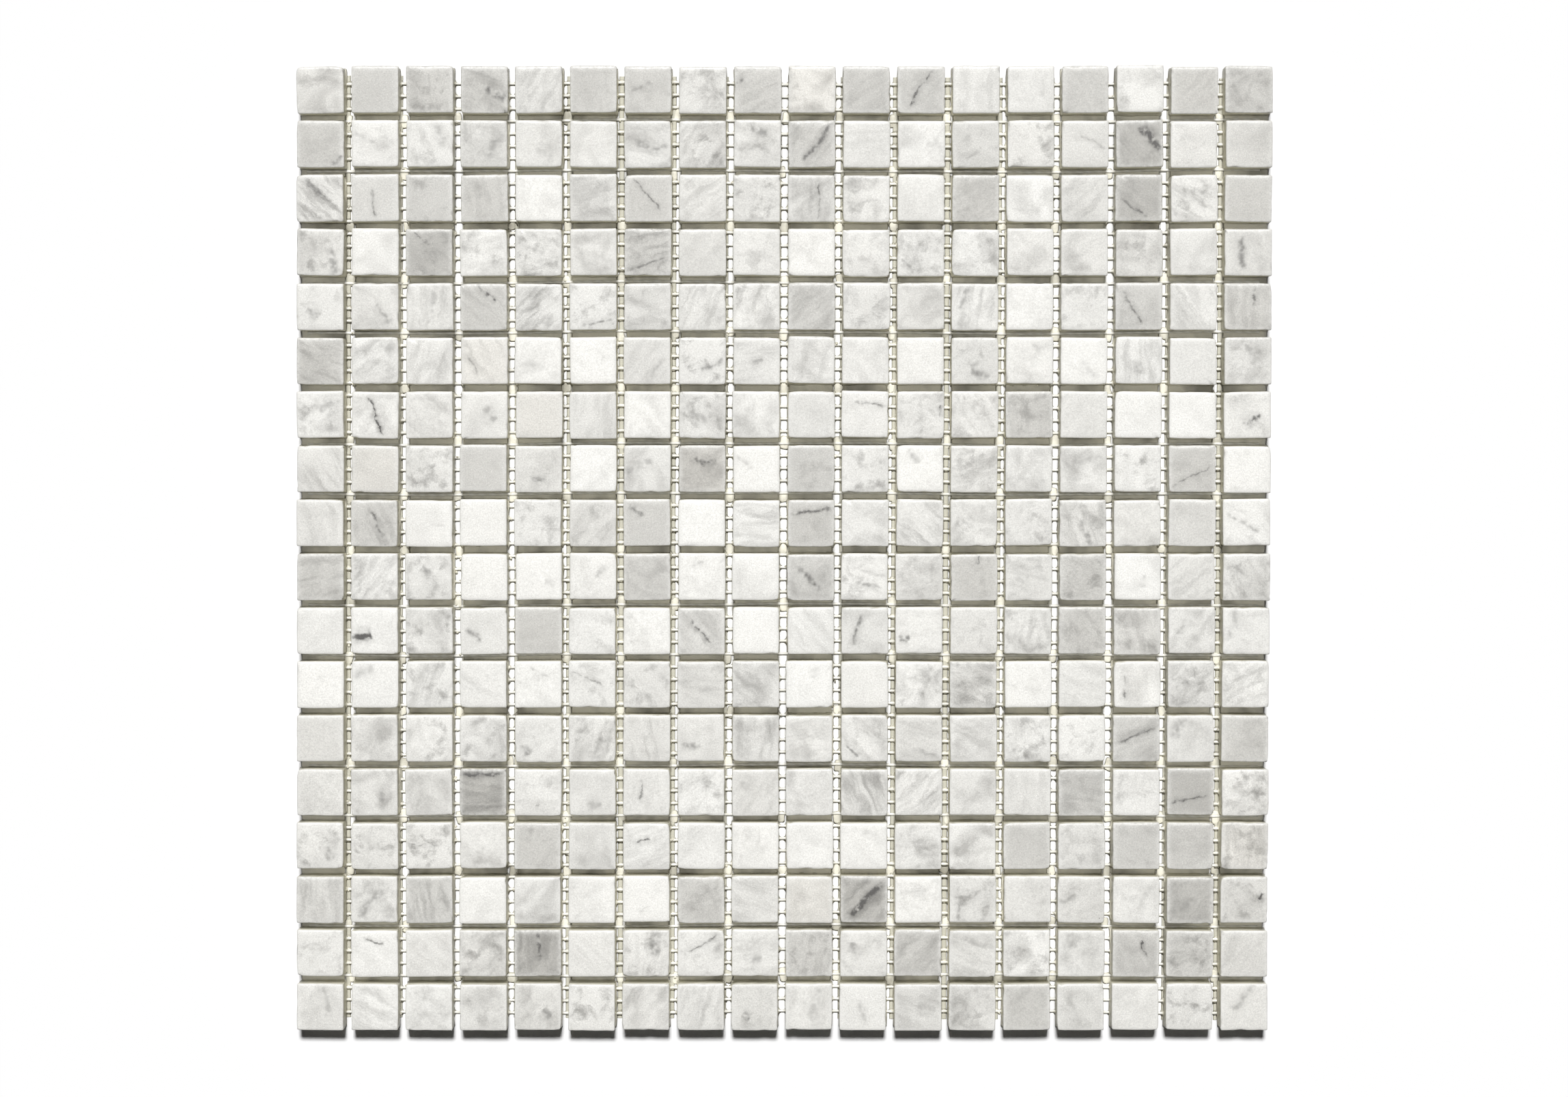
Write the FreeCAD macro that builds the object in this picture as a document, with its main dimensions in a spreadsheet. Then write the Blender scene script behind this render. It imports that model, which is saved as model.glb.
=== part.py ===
"""Mosaic tile sheet: 18 by 18 square marble tiles on a glass-fibre scrim.

The sheet lies flat with the faces of its tiles upwards. The origin is the centre of
its underside: X runs along the rows, Y across them and Z up. All sizes are in millimetres.
"""

import FreeCAD, Part
import os
import Sketcher

OUTPUT_FOLDER = "parts"

# Driving sizes, each with the note that stands beside it in the spreadsheet
SIZES = [
    ("tiles_per_row", 18, "tiles side by side along X"),
    ("row_count", 18, "rows, one after another along Y"),
    ("tile_side", 14.6, "side of a square tile, sold as 15 mm"),
    ("tile_thickness", 7.0, "sawn thickness of a tile"),
    ("edge_ease", 0.55, "worn edge round a tile's face and down its four corners"),
    ("column_joint", 2.45, "clear gap between two tiles of a row"),
    ("row_joint", 2.3, "clear gap between two rows"),
    ("scrim_inset", 2.55, "how far the scrim is cut short of the outer tiles' edges"),
    ("flat_yarn_pitch", 4.11, "spacing of the flat yarns that run along Y"),
    ("flat_yarn_width", 1.5, "width of a flat yarn"),
    ("flat_yarn_thickness", 0.3, "thickness of a flat yarn"),
    ("flat_yarn_shift", -0.65, "how far the middle flat yarn lies from the sheet's centre"),
    ("round_yarn_pitch", 3.9, "spacing of the raised yarns that run along X"),
    ("round_yarn_width", 0.65, "width of a raised yarn"),
    ("round_yarn_thickness", 0.5, "thickness of a raised yarn"),
]

# Sizes that follow from them, as expressions
COLUMN_PITCH = "(Sizes.tile_side + Sizes.column_joint)"
ROW_PITCH = "(Sizes.tile_side + Sizes.row_joint)"
SHEET_LENGTH_X = f"(Sizes.tiles_per_row * {COLUMN_PITCH} - Sizes.column_joint)"
SHEET_LENGTH_Y = f"(Sizes.row_count * {ROW_PITCH} - Sizes.row_joint)"
SCRIM_LENGTH_X = f"({SHEET_LENGTH_X} - 2 * Sizes.scrim_inset)"
SCRIM_LENGTH_Y = f"({SHEET_LENGTH_Y} - 2 * Sizes.scrim_inset)"
SCRIM_THICKNESS = "(Sizes.flat_yarn_thickness + Sizes.round_yarn_thickness)"

# The flat yarns lie evenly on both sides of a middle one, which is a little off centre
FLAT_YARN_ROOM = (
    f"({SCRIM_LENGTH_X} / 2 - abs(Sizes.flat_yarn_shift) - Sizes.flat_yarn_width / 2)"
)
FLAT_YARN_COUNT = f"(2 * floor({FLAT_YARN_ROOM} / Sizes.flat_yarn_pitch) + 1)"

# The raised yarns lie evenly on both sides of the sheet's centre, with none on it
ROUND_YARN_ROOM = f"({SCRIM_LENGTH_Y} / 2 - Sizes.round_yarn_width / 2)"
ROUND_YARN_COUNT = f"(2 * floor({ROUND_YARN_ROOM} / Sizes.round_yarn_pitch + 0.5))"


def add_sizes(doc):
    """The spreadsheet of driving sizes: a name, a value and a note on each line."""
    sizes = doc.addObject("Spreadsheet::Sheet", "Sizes")
    for line, (name, value, note) in enumerate(SIZES, start=1):
        sizes.set(f"A{line}", name)
        sizes.set(f"B{line}", str(value))
        sizes.set(f"C{line}", note)
        sizes.setAlias(f"B{line}", name)
    doc.recompute()
    return sizes


def origin_feature(body, role):
    """One of a body's own origin planes or axes, found by its role."""
    for feature in body.Origin.OriginFeatures:
        if feature.Role == role:
            return feature
    raise ValueError(f"{body.Label} has no {role}")


def add_outline(body, length_x, length_y):
    """A rectangle round the body's origin, in its XY plane, with both lengths bound."""
    outline = body.newObject("Sketcher::SketchObject", f"{body.Name}_outline")
    outline.AttachmentSupport = (origin_feature(body, "XY_Plane"), [""])
    outline.MapMode = "FlatFace"
    corners = [FreeCAD.Vector(x, y, 0) for x, y in ((-1, -1), (1, -1), (1, 1), (-1, 1))]
    for side in range(4):
        line = Part.LineSegment(corners[side], corners[(side + 1) % 4])
        outline.addGeometry(line, False)
    for side in range(4):
        direction = "Vertical" if side % 2 else "Horizontal"
        outline.addConstraint(Sketcher.Constraint("Coincident", side, 2, (side + 1) % 4, 1))
        outline.addConstraint(Sketcher.Constraint(direction, side))
    outline.addConstraint(Sketcher.Constraint("Symmetric", 0, 1, 2, 1, -1, 1))
    for side, kind, length in ((0, "DistanceX", length_x), (1, "DistanceY", length_y)):
        span = Sketcher.Constraint(kind, side, 1, side, 2, 2.0)
        number = outline.addConstraint(span)
        outline.setExpression(f"Constraints[{number}]", length)
    return outline


def add_slab(doc, label, length_x, length_y, thickness, place):
    """A body that is one rectangular slab so far, its underside centred on place."""
    body = doc.addObject("PartDesign::Body", label)
    body.Label = label
    body.AllowCompound = True
    for axis, distance in zip("xyz", place):
        body.setExpression(f"Placement.Base.{axis}", distance)
    slab = body.newObject("PartDesign::Pad", f"{label}_slab")
    slab.Profile = add_outline(body, length_x, length_y)
    slab.setExpression("Length", thickness)
    body.Tip = slab
    doc.recompute()
    return body


def ease_edges(doc, body):
    """Take the sharp edge off round the slab's top face and down its four corners."""
    slab = body.Tip
    top = slab.Shape.BoundBox.ZMax
    worn = []
    for number, edge in enumerate(slab.Shape.Edges, start=1):
        upright = edge.BoundBox.ZLength > edge.BoundBox.DiagonalLength / 2
        at_top = edge.CenterOfMass.z > top - slab.Shape.BoundBox.ZLength / 4
        if upright or at_top:
            worn.append(f"Edge{number}")
    ease = body.newObject("PartDesign::Chamfer", f"{body.Name}_ease")
    ease.Base = (slab, worn)
    ease.setExpression("Size", "Sizes.edge_ease")
    body.Tip = ease
    doc.recompute()


def repeat(doc, body, role, pitch, count):
    """Lay copies of the whole body side by side along one of its own axes."""
    copies = body.newObject("PartDesign::LinearPattern", f"{body.Name}_copies")
    copies.TransformMode = "Whole shape"
    copies.Direction = (origin_feature(body, role), [""])
    copies.Mode = "Spacing"
    copies.setExpression("Offset", pitch)
    copies.setExpression("Occurrences", count)
    body.Tip = copies
    doc.recompute()


def first_of(count, pitch):
    """Where the first of an evenly spaced set lies, for a set that is centred on zero."""
    return f"-({count} - 1) * {pitch} / 2"


def add_tile_row(doc, row):
    """One row of tiles, the first at the left; row 0 lies furthest along Y."""
    label = f"tiles_row_{row + 1:02d}"
    place = (
        first_of("Sizes.tiles_per_row", COLUMN_PITCH),
        f"((Sizes.row_count - 1) / 2 - {row}) * {ROW_PITCH}",
        SCRIM_THICKNESS,
    )
    body = add_slab(
        doc, label, "Sizes.tile_side", "Sizes.tile_side", "Sizes.tile_thickness", place
    )
    ease_edges(doc, body)
    repeat(doc, body, "X_Axis", COLUMN_PITCH, "Sizes.tiles_per_row")
    return body


def add_flat_yarns(doc):
    """The scrim's lower layer: flat yarns along Y, which lie on the ground."""
    first = first_of(FLAT_YARN_COUNT, "Sizes.flat_yarn_pitch")
    body = add_slab(
        doc,
        "scrim_flat_yarns",
        "Sizes.flat_yarn_width",
        SCRIM_LENGTH_Y,
        "Sizes.flat_yarn_thickness",
        (f"Sizes.flat_yarn_shift + {first}", "0", "0"),
    )
    repeat(doc, body, "X_Axis", "Sizes.flat_yarn_pitch", FLAT_YARN_COUNT)
    return body


def add_round_yarns(doc):
    """The scrim's upper layer: raised yarns along X, which carry the tiles."""
    body = add_slab(
        doc,
        "scrim_raised_yarns",
        SCRIM_LENGTH_X,
        "Sizes.round_yarn_width",
        "Sizes.round_yarn_thickness",
        ("0", first_of(ROUND_YARN_COUNT, "Sizes.round_yarn_pitch"), "Sizes.flat_yarn_thickness"),
    )
    repeat(doc, body, "Y_Axis", "Sizes.round_yarn_pitch", ROUND_YARN_COUNT)
    return body


def check(doc, bodies):
    """Stop before anything is written if an object failed or a shape isn't sound."""
    for thing in doc.Objects:
        if "Invalid" in thing.State or "Error" in thing.State:
            raise RuntimeError(f"{thing.Label}: {thing.State}")
    for body in bodies:
        if body.Shape.isNull() or not body.Shape.isValid():
            raise RuntimeError(f"{body.Label}: its shape isn't sound")


def main():
    doc = FreeCAD.newDocument("mosaic_tile_sheet")
    sizes = add_sizes(doc)
    bodies = [add_flat_yarns(doc), add_round_yarns(doc)]
    for row in range(int(sizes.get("row_count"))):
        bodies.append(add_tile_row(doc, row))
    doc.recompute()
    check(doc, bodies)

    os.makedirs(OUTPUT_FOLDER, exist_ok=True)
    for body in bodies:
        body.Shape.exportStep(os.path.join(OUTPUT_FOLDER, f"{body.Label}.step"))
        solids = len(body.Shape.Solids)
        box = body.Shape.BoundBox
        print(f"{body.Label}: {solids} solids, {box}, {body.Shape.Volume:.1f} mm3")


main()
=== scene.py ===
"""Looks of a mosaic tile sheet: worn marble tiles, glued to a glass-fibre scrim.

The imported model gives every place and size, in metres: X runs along the rows of tiles,
Y across them, towards row 1, and Z up. Row 1 is the photograph's top row.
"""

import math

import bmesh
import bpy
import numpy as np
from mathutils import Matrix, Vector


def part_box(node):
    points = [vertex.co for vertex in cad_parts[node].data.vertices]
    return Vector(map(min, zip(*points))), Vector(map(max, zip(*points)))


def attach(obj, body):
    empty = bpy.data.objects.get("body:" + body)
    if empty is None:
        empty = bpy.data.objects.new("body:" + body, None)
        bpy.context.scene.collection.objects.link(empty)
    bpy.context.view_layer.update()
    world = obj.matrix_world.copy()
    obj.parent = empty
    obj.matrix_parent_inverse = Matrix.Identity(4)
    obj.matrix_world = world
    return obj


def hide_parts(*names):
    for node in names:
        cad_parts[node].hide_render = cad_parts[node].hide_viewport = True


MM = 0.001
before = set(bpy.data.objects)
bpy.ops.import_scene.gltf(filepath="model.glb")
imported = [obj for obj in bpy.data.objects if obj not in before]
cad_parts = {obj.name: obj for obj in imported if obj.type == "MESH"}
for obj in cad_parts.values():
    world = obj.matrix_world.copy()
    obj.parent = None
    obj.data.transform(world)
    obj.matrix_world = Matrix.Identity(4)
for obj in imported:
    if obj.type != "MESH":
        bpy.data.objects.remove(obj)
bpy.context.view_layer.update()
show = bpy.context.scene.collection.objects.link

# The grid of tiles, with its places and sizes from the frame
ROW_NODES = sorted(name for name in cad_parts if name.startswith("tiles_row_"))
TILES_PER_ROW = 18
row_low, row_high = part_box(ROW_NODES[0])
TILE_SIDE = row_high.y - row_low.y
HALF_SIDE = TILE_SIDE / 2
TILE_THICKNESS = row_high.z - row_low.z
TILE_FOOT = row_low.z
COLUMN_PITCH = (row_high.x - row_low.x - TILE_SIDE) / (TILES_PER_ROW - 1)
COLUMNS = [row_low.x + HALF_SIDE + n * COLUMN_PITCH for n in range(TILES_PER_ROW)]
BETWEEN_COLUMNS = [x + COLUMN_PITCH / 2 for x in COLUMNS[:-1]]
ROWS = [sum((corner.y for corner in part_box(node)), 0.0) / 2 for node in ROW_NODES]
BETWEEN_ROWS = [(above + below) / 2 for above, below in zip(ROWS, ROWS[1:])]

# The two layers of the scrim, with their places and thicknesses from the frame
FLAT_YARNS = 73
RAISED_YARNS = 76
FLAT_YARN_WIDTH = 1.5 * MM
RAISED_YARN_WIDTH = 0.65 * MM
flat_low, flat_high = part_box("scrim_flat_yarns")
raised_low, raised_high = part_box("scrim_raised_yarns")
RAISED_YARN_PITCH = (raised_high.y - raised_low.y - RAISED_YARN_WIDTH) / (RAISED_YARNS - 1)
RAISED_YARN_Y = [
    raised_low.y + RAISED_YARN_WIDTH / 2 + n * RAISED_YARN_PITCH for n in range(RAISED_YARNS)
]

# The flat yarns' own places, read where they show in the photograph: the middle of the
# joints between columns 6 and 7 and between columns 12 and 13, with 25 pitches from one to
# the other
FLAT_YARN_PITCH = 6 * COLUMN_PITCH / 25
MIDDLE_FLAT_YARN = -FLAT_YARN_PITCH / 2
FLAT_YARN_X = [
    MIDDLE_FLAT_YARN + (n - (FLAT_YARNS - 1) // 2) * FLAT_YARN_PITCH for n in range(FLAT_YARNS)
]

# Resin makes the yarns that much wider than bare ones
RESIN_ON_FLAT_YARN = 1.1
RESIN_ON_RAISED_YARN = 1.3

# The loose sheet is slightly racked: it leans this much to the right for each length along Y
RACK = 0.0033

# Stones that stand out in the photograph, by row and column from its top left
DARK_STONES = [(14, 4), (16, 11), (4, 3), (14, 17), (17, 5), (3, 16), (2, 16), (16, 17)]
GREY_STONES = [
    (1, 2), (1, 3), (1, 4), (1, 6), (1, 7), (1, 9), (1, 11), (1, 12), (1, 15), (1, 17), (1, 18),
    (2, 1), (2, 10), (3, 3), (3, 4), (3, 7), (3, 13), (3, 18), (4, 7), (5, 4), (5, 10), (5, 16),
    (5, 18), (6, 1), (7, 14), (8, 4), (8, 8), (8, 10), (8, 17), (9, 2), (9, 7), (9, 10), (10, 1),
    (10, 7), (10, 10), (10, 13), (10, 15), (11, 5), (11, 15), (13, 16), (13, 18), (14, 15),
    (15, 5), (15, 14), (15, 16), (15, 17), (16, 3), (16, 8), (17, 10), (17, 12), (17, 16),
    (17, 17), (18, 14),
]
WHITE_STONES = [
    (3, 5), (4, 2), (4, 10), (5, 14), (6, 5), (6, 6), (6, 15), (7, 7), (7, 16), (7, 17), (8, 6),
    (8, 9), (8, 12), (8, 18), (9, 3), (9, 4), (9, 8), (10, 4), (10, 5), (10, 6), (10, 8), (10, 9),
    (10, 16), (11, 2), (11, 7), (11, 9), (12, 1), (12, 5), (12, 10), (12, 12), (12, 14), (12, 16),
    (15, 9), (15, 10), (15, 11), (16, 4), (16, 6), (16, 7), (16, 12), (17, 2),
]
WARM_STONES = [(7, 5), (1, 10), (8, 2), (8, 8), (15, 18), (6, 4), (16, 10)]
ROUGH_STONES = [(12, 13), (18, 9), (18, 2), (14, 1), (10, 15), (12, 15)]
MOTTLED_STONES = [
    (1, 3), (2, 8), (3, 11), (4, 5), (4, 16), (7, 1), (7, 14), (9, 14), (11, 3), (11, 14),
    (12, 12), (13, 4), (13, 14), (15, 12), (15, 18), (17, 4),
]
BANDED_STONES = [
    (3, 1), (5, 4), (5, 8), (13, 16), (14, 4), (16, 11), (17, 5), (14, 11), (10, 2), (9, 2),
    (12, 13), (4, 7), (5, 5), (14, 12), (12, 9), (16, 3), (11, 16), (6, 1), (2, 10), (9, 12),
]

# Their clearest veins and smudges: both ends (x, y, x, y) and half the width, all in mm from
# the middle of the face, and how dark
VEINS = {
    (1, 4): (1.6, -0.6, 5.6, -2.0, 2.0, 0.45), (1, 9): (-6.2, 2.4, -4.6, 3.2, 0.8, 0.5),
    (1, 12): (3.3, 6.3, -4.3, -6.0, 0.6, 0.55), (2, 1): (4.0, -6.0, 6.0, -4.0, 1.0, 0.35),
    (2, 10): (6.5, 6.5, -2.9, -6.0, 1.0, 0.45), (2, 16): (1.2, 4.4, 5.6, -1.0, 2.0, 0.9),
    (3, 1): (-4.8, 5.9, 2.7, -0.5, 1.2, 0.35), (3, 2): (-1.3, 2.7, 0.0, -6.0, 0.6, 0.35),
    (3, 7): (-4.6, 6.5, 4.2, -4.8, 0.5, 0.4), (3, 10): (2.6, 5.0, 2.0, -6.0, 0.5, 0.45),
    (3, 16): (-4.8, -0.4, 2.8, -6.0, 0.7, 0.4), (4, 3): (-5.0, 6.5, 0.3, 2.5, 0.45, 0.6),
    (4, 7): (-6.0, -5.5, 6.5, -1.8, 0.6, 0.35), (4, 18): (-1.8, 4.0, -1.8, -4.0, 1.5, 0.35),
    (5, 4): (-1.8, 6.5, 3.6, 1.7, 0.7, 0.5), (5, 6): (-3.3, -6.3, 5.3, -3.6, 0.8, 0.4),
    (5, 16): (-4.8, 4.5, 0.9, -5.6, 0.6, 0.4), (5, 18): (2.0, 6.5, 2.0, 0.0, 0.5, 0.4),
    (6, 4): (-5.5, 2.0, -1.8, -4.4, 0.8, 0.3), (7, 2): (-2.1, 6.3, 2.3, -6.6, 0.45, 0.95),
    (7, 11): (-5.5, 4.7, 6.5, 2.2, 0.7, 0.4), (7, 12): (5.8, 2.6, 5.6, 0.2, 0.6, 0.6),
    (7, 18): (3.6, -0.3, -1.0, -3.5, 1.0, 0.5), (8, 5): (-2.2, -3.2, 2.0, -3.2, 0.8, 0.45),
    (8, 8): (-3.0, 3.0, 4.0, 2.0, 1.6, 0.5), (8, 17): (-7.0, -6.0, 6.0, 0.9, 0.5, 0.35),
    (9, 2): (-1.5, 5.2, 2.9, -4.8, 0.8, 0.45), (9, 7): (-4.5, 4.5, -1.5, 2.5, 1.2, 0.4),
    (9, 10): (-6.6, 2.7, 6.5, 4.6, 0.8, 0.5), (10, 10): (-3.0, 2.6, 2.8, -3.6, 1.5, 0.4),
    (10, 13): (1.5, 6.4, 1.5, 4.0, 0.4, 0.7), (11, 2): (-6.4, -1.8, -1.9, -1.6, 1.6, 1.0),
    (11, 4): (-4.6, 0.0, -1.2, -2.4, 1.4, 0.35), (11, 8): (-3.4, 3.8, 2.9, -3.7, 0.6, 0.5),
    (11, 11): (-1.4, 5.0, -3.6, -5.0, 1.0, 0.4), (11, 12): (-4.8, -2.5, -3.8, -2.5, 1.2, 0.45),
    (12, 6): (-6.5, 3.8, 4.5, -0.6, 0.5, 0.35), (12, 16): (-4.2, 3.0, -4.2, -5.0, 0.5, 0.4),
    (13, 11): (-6.2, -1.8, -1.9, -5.6, 0.7, 0.4), (13, 16): (-5.5, -1.5, 5.5, 3.5, 0.7, 0.45),
    (14, 4): (-6.8, 5.4, 6.8, 5.4, 0.9, 0.8), (14, 5): (-0.3, -4.1, 0.3, -4.1, 0.4, 0.9),
    (14, 7): (-1.6, 4.0, -1.6, -3.4, 0.6, 0.4), (14, 17): (-7.0, -4.0, 6.0, -0.7, 0.6, 0.45),
    (15, 3): (-7.2, 0.5, 2.8, 0.5, 0.4, 0.35), (15, 7): (-2.6, 1.3, 0.8, 2.7, 0.5, 0.55),
    (16, 11): (-5.0, -5.5, 5.5, 5.0, 1.6, 0.8), (16, 18): (5.7, 2.0, 4.9, 0.8, 0.6, 0.9),
    (17, 2): (-3.4, 5.0, 2.3, 2.9, 0.5, 0.45), (17, 5): (0.0, 6.5, 0.2, -2.0, 0.8, 0.55),
    (17, 8): (-7.0, -1.0, 6.5, 6.3, 0.5, 0.4), (17, 16): (1.4, 4.0, 3.8, -0.8, 0.35, 0.65),
}

# What makes a stone its own, drawn once for each and read by the marble
STONE_NUMBERS = ("tone", "clouds", "bands", "smudges", "warmth", "rough")

# The colour inputs of a Mix node: the colour underneath, and the one laid over it
UNDER = 6
OVER = 7


def feed(node, inputs):
    """Give each input a value, a socket to follow, or a node: its first output in use."""
    for key, value in inputs.items():
        if isinstance(value, bpy.types.Node):
            value = next(socket for socket in value.outputs if socket.enabled)
        if isinstance(value, bpy.types.NodeSocket):
            node.id_data.links.new(value, node.inputs[key])
        else:
            node.inputs[key].default_value = value


def add(tree, kind, inputs=None, **settings):
    """Add a node with its properties set and its inputs fed."""
    node = tree.nodes.new(kind)
    for name, value in settings.items():
        setattr(node, name, value)
    feed(node, inputs or {})
    return node


def colour(code):
    """An sRGB hex colour as the linear red, green, blue and alpha that sockets hold."""
    parts = [int(code[n:n + 2], 16) / 255 for n in (1, 3, 5)]
    linear = [p / 12.92 if p <= 0.04045 else ((p + 0.055) / 1.055) ** 2.4 for p in parts]
    return (*linear, 1.0)


def per(length_mm):
    """A texture's scale for features of that size in millimetres."""
    return 1000.0 / length_mm


# Geometry Nodes

def new_tree(name, sockets):
    """A tree with a geometry in and out and the given inputs: (name, kind of socket, value)."""
    tree = bpy.data.node_groups.new(name, "GeometryNodeTree")
    interface = tree.interface
    interface.new_socket("Geometry", in_out="INPUT", socket_type="NodeSocketGeometry")
    interface.new_socket("Geometry", in_out="OUTPUT", socket_type="NodeSocketGeometry")
    for label, kind, value in sockets:
        socket = interface.new_socket(label, in_out="INPUT", socket_type=f"NodeSocket{kind}")
        if value is not None:
            socket.default_value = value
    return tree


def grow(name, tree, start, **values):
    """Run a tree on a start mesh and return the result as a plain mesh object."""
    piece = bpy.data.objects.new(name, start)
    show(piece)
    modifier = piece.modifiers.new("grow", "NODES")
    modifier.node_group = tree
    for item in tree.interface.items_tree:
        key = item.name.lower().replace(" ", "_")
        if item.in_out == "INPUT" and key in values:
            modifier[item.identifier] = values[key]
    depsgraph = bpy.context.evaluated_depsgraph_get()
    mesh = bpy.data.meshes.new_from_object(
        piece.evaluated_get(depsgraph), preserve_all_data_layers=True, depsgraph=depsgraph
    )
    piece.modifiers.remove(modifier)
    piece.data = mesh
    mesh.name = name
    bpy.data.meshes.remove(start)
    return piece


def worn_copies_tree():
    """Copies of a blank on the start mesh's points, each worn in its own way.

    The points carry turn, size and own_shift; the blank carries outward, wear and corner.
    """
    tree = new_tree("worn_copies", [
        ("Blank", "Object", None),
        ("Material", "Material", None),
        ("Waviness", "Float", 0.1 * MM),
        ("Wave Length", "Float", 6 * MM),
        ("Corner Loss", "Float", 0.0),
        ("Chip Depth", "Float", 0.0),
        ("Chip Size", "Float", 1.6 * MM),
    ])
    given = add(tree, "NodeGroupInput").outputs
    read = {}
    for label in ("turn", "size", "own_shift", "outward", "wear", "corner"):
        read[label] = add(tree, "GeometryNodeInputNamedAttribute", {
            "Name": label,
        }, data_type="FLOAT" if label == "wear" else "FLOAT_VECTOR")
    blank = add(tree, "GeometryNodeObjectInfo", {"Object": given["Blank"]})
    copies = add(tree, "GeometryNodeInstanceOnPoints", {
        "Points": given["Geometry"], "Instance": blank.outputs["Geometry"],
        "Rotation": read["turn"], "Scale": read["size"],
    })
    solid = add(tree, "GeometryNodeRealizeInstances", {"Geometry": copies})
    place = add(tree, "GeometryNodeInputPosition")
    own = add(tree, "ShaderNodeVectorMath", {0: place, 1: read["own_shift"]}, operation="ADD")

    # Edges that wander in and out along their length
    wave_scale = add(tree, "ShaderNodeMath", {0: 1.0, 1: given["Wave Length"]}, operation="DIVIDE")
    wave = add(tree, "ShaderNodeTexNoise", {
        "Vector": own, "Scale": wave_scale, "Detail": 4.0, "Roughness": 0.6,
    })
    in_and_out = add(tree, "ShaderNodeMapRange", {
        "Value": wave, "From Min": 0.25, "From Max": 0.75, "To Min": -1.0,
    })
    wandering = add(tree, "ShaderNodeMath", {
        0: in_and_out, 1: given["Waviness"],
    }, operation="MULTIPLY")

    # Corners that tumbling has knocked back, some much more than others
    corner_noise = add(tree, "ShaderNodeTexNoise", {
        "Vector": own, "Scale": per(9.0), "Detail": 1.0,
    })
    corner_loss = add(tree, "ShaderNodeMapRange", {
        "Value": corner_noise, "From Min": 0.46, "From Max": 0.76, "To Max": given["Corner Loss"],
    })
    lost_corner = add(tree, "ShaderNodeVectorMath", {
        0: read["corner"], "Scale": corner_loss,
    }, operation="SCALE")

    # Small chips along the edges of the face, half as deep downwards as inwards
    chip_scale = add(tree, "ShaderNodeMath", {0: 1.0, 1: given["Chip Size"]}, operation="DIVIDE")
    chip_noise = add(tree, "ShaderNodeTexNoise", {
        "Vector": own, "Scale": chip_scale, "Detail": 2.0,
    })
    chip = add(tree, "ShaderNodeMapRange", {
        "Value": chip_noise, "From Min": 0.60, "From Max": 0.72, "To Max": given["Chip Depth"],
    })
    lost_chip = add(tree, "ShaderNodeMath", {0: chip, 1: read["wear"]}, operation="MULTIPLY")
    downwards = add(tree, "ShaderNodeVectorMath", {
        0: (0.0, 0.0, -0.5), "Scale": lost_chip,
    }, operation="SCALE")

    reach = add(tree, "ShaderNodeMath", {0: wandering, 1: lost_chip}, operation="SUBTRACT")
    sideways = add(tree, "ShaderNodeVectorMath", {
        0: read["outward"], "Scale": reach,
    }, operation="SCALE")
    edge_offset = add(tree, "ShaderNodeVectorMath", {0: sideways, 1: downwards}, operation="ADD")
    offset = add(tree, "ShaderNodeVectorMath", {0: edge_offset, 1: lost_corner}, operation="ADD")
    worn = add(tree, "GeometryNodeSetPosition", {"Geometry": solid, "Offset": offset})
    smooth = add(tree, "GeometryNodeSetShadeSmooth", {"Geometry": worn})
    painted = add(tree, "GeometryNodeSetMaterial", {
        "Geometry": smooth, "Material": given["Material"],
    })
    add(tree, "NodeGroupOutput", {0: painted})
    return tree


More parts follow.
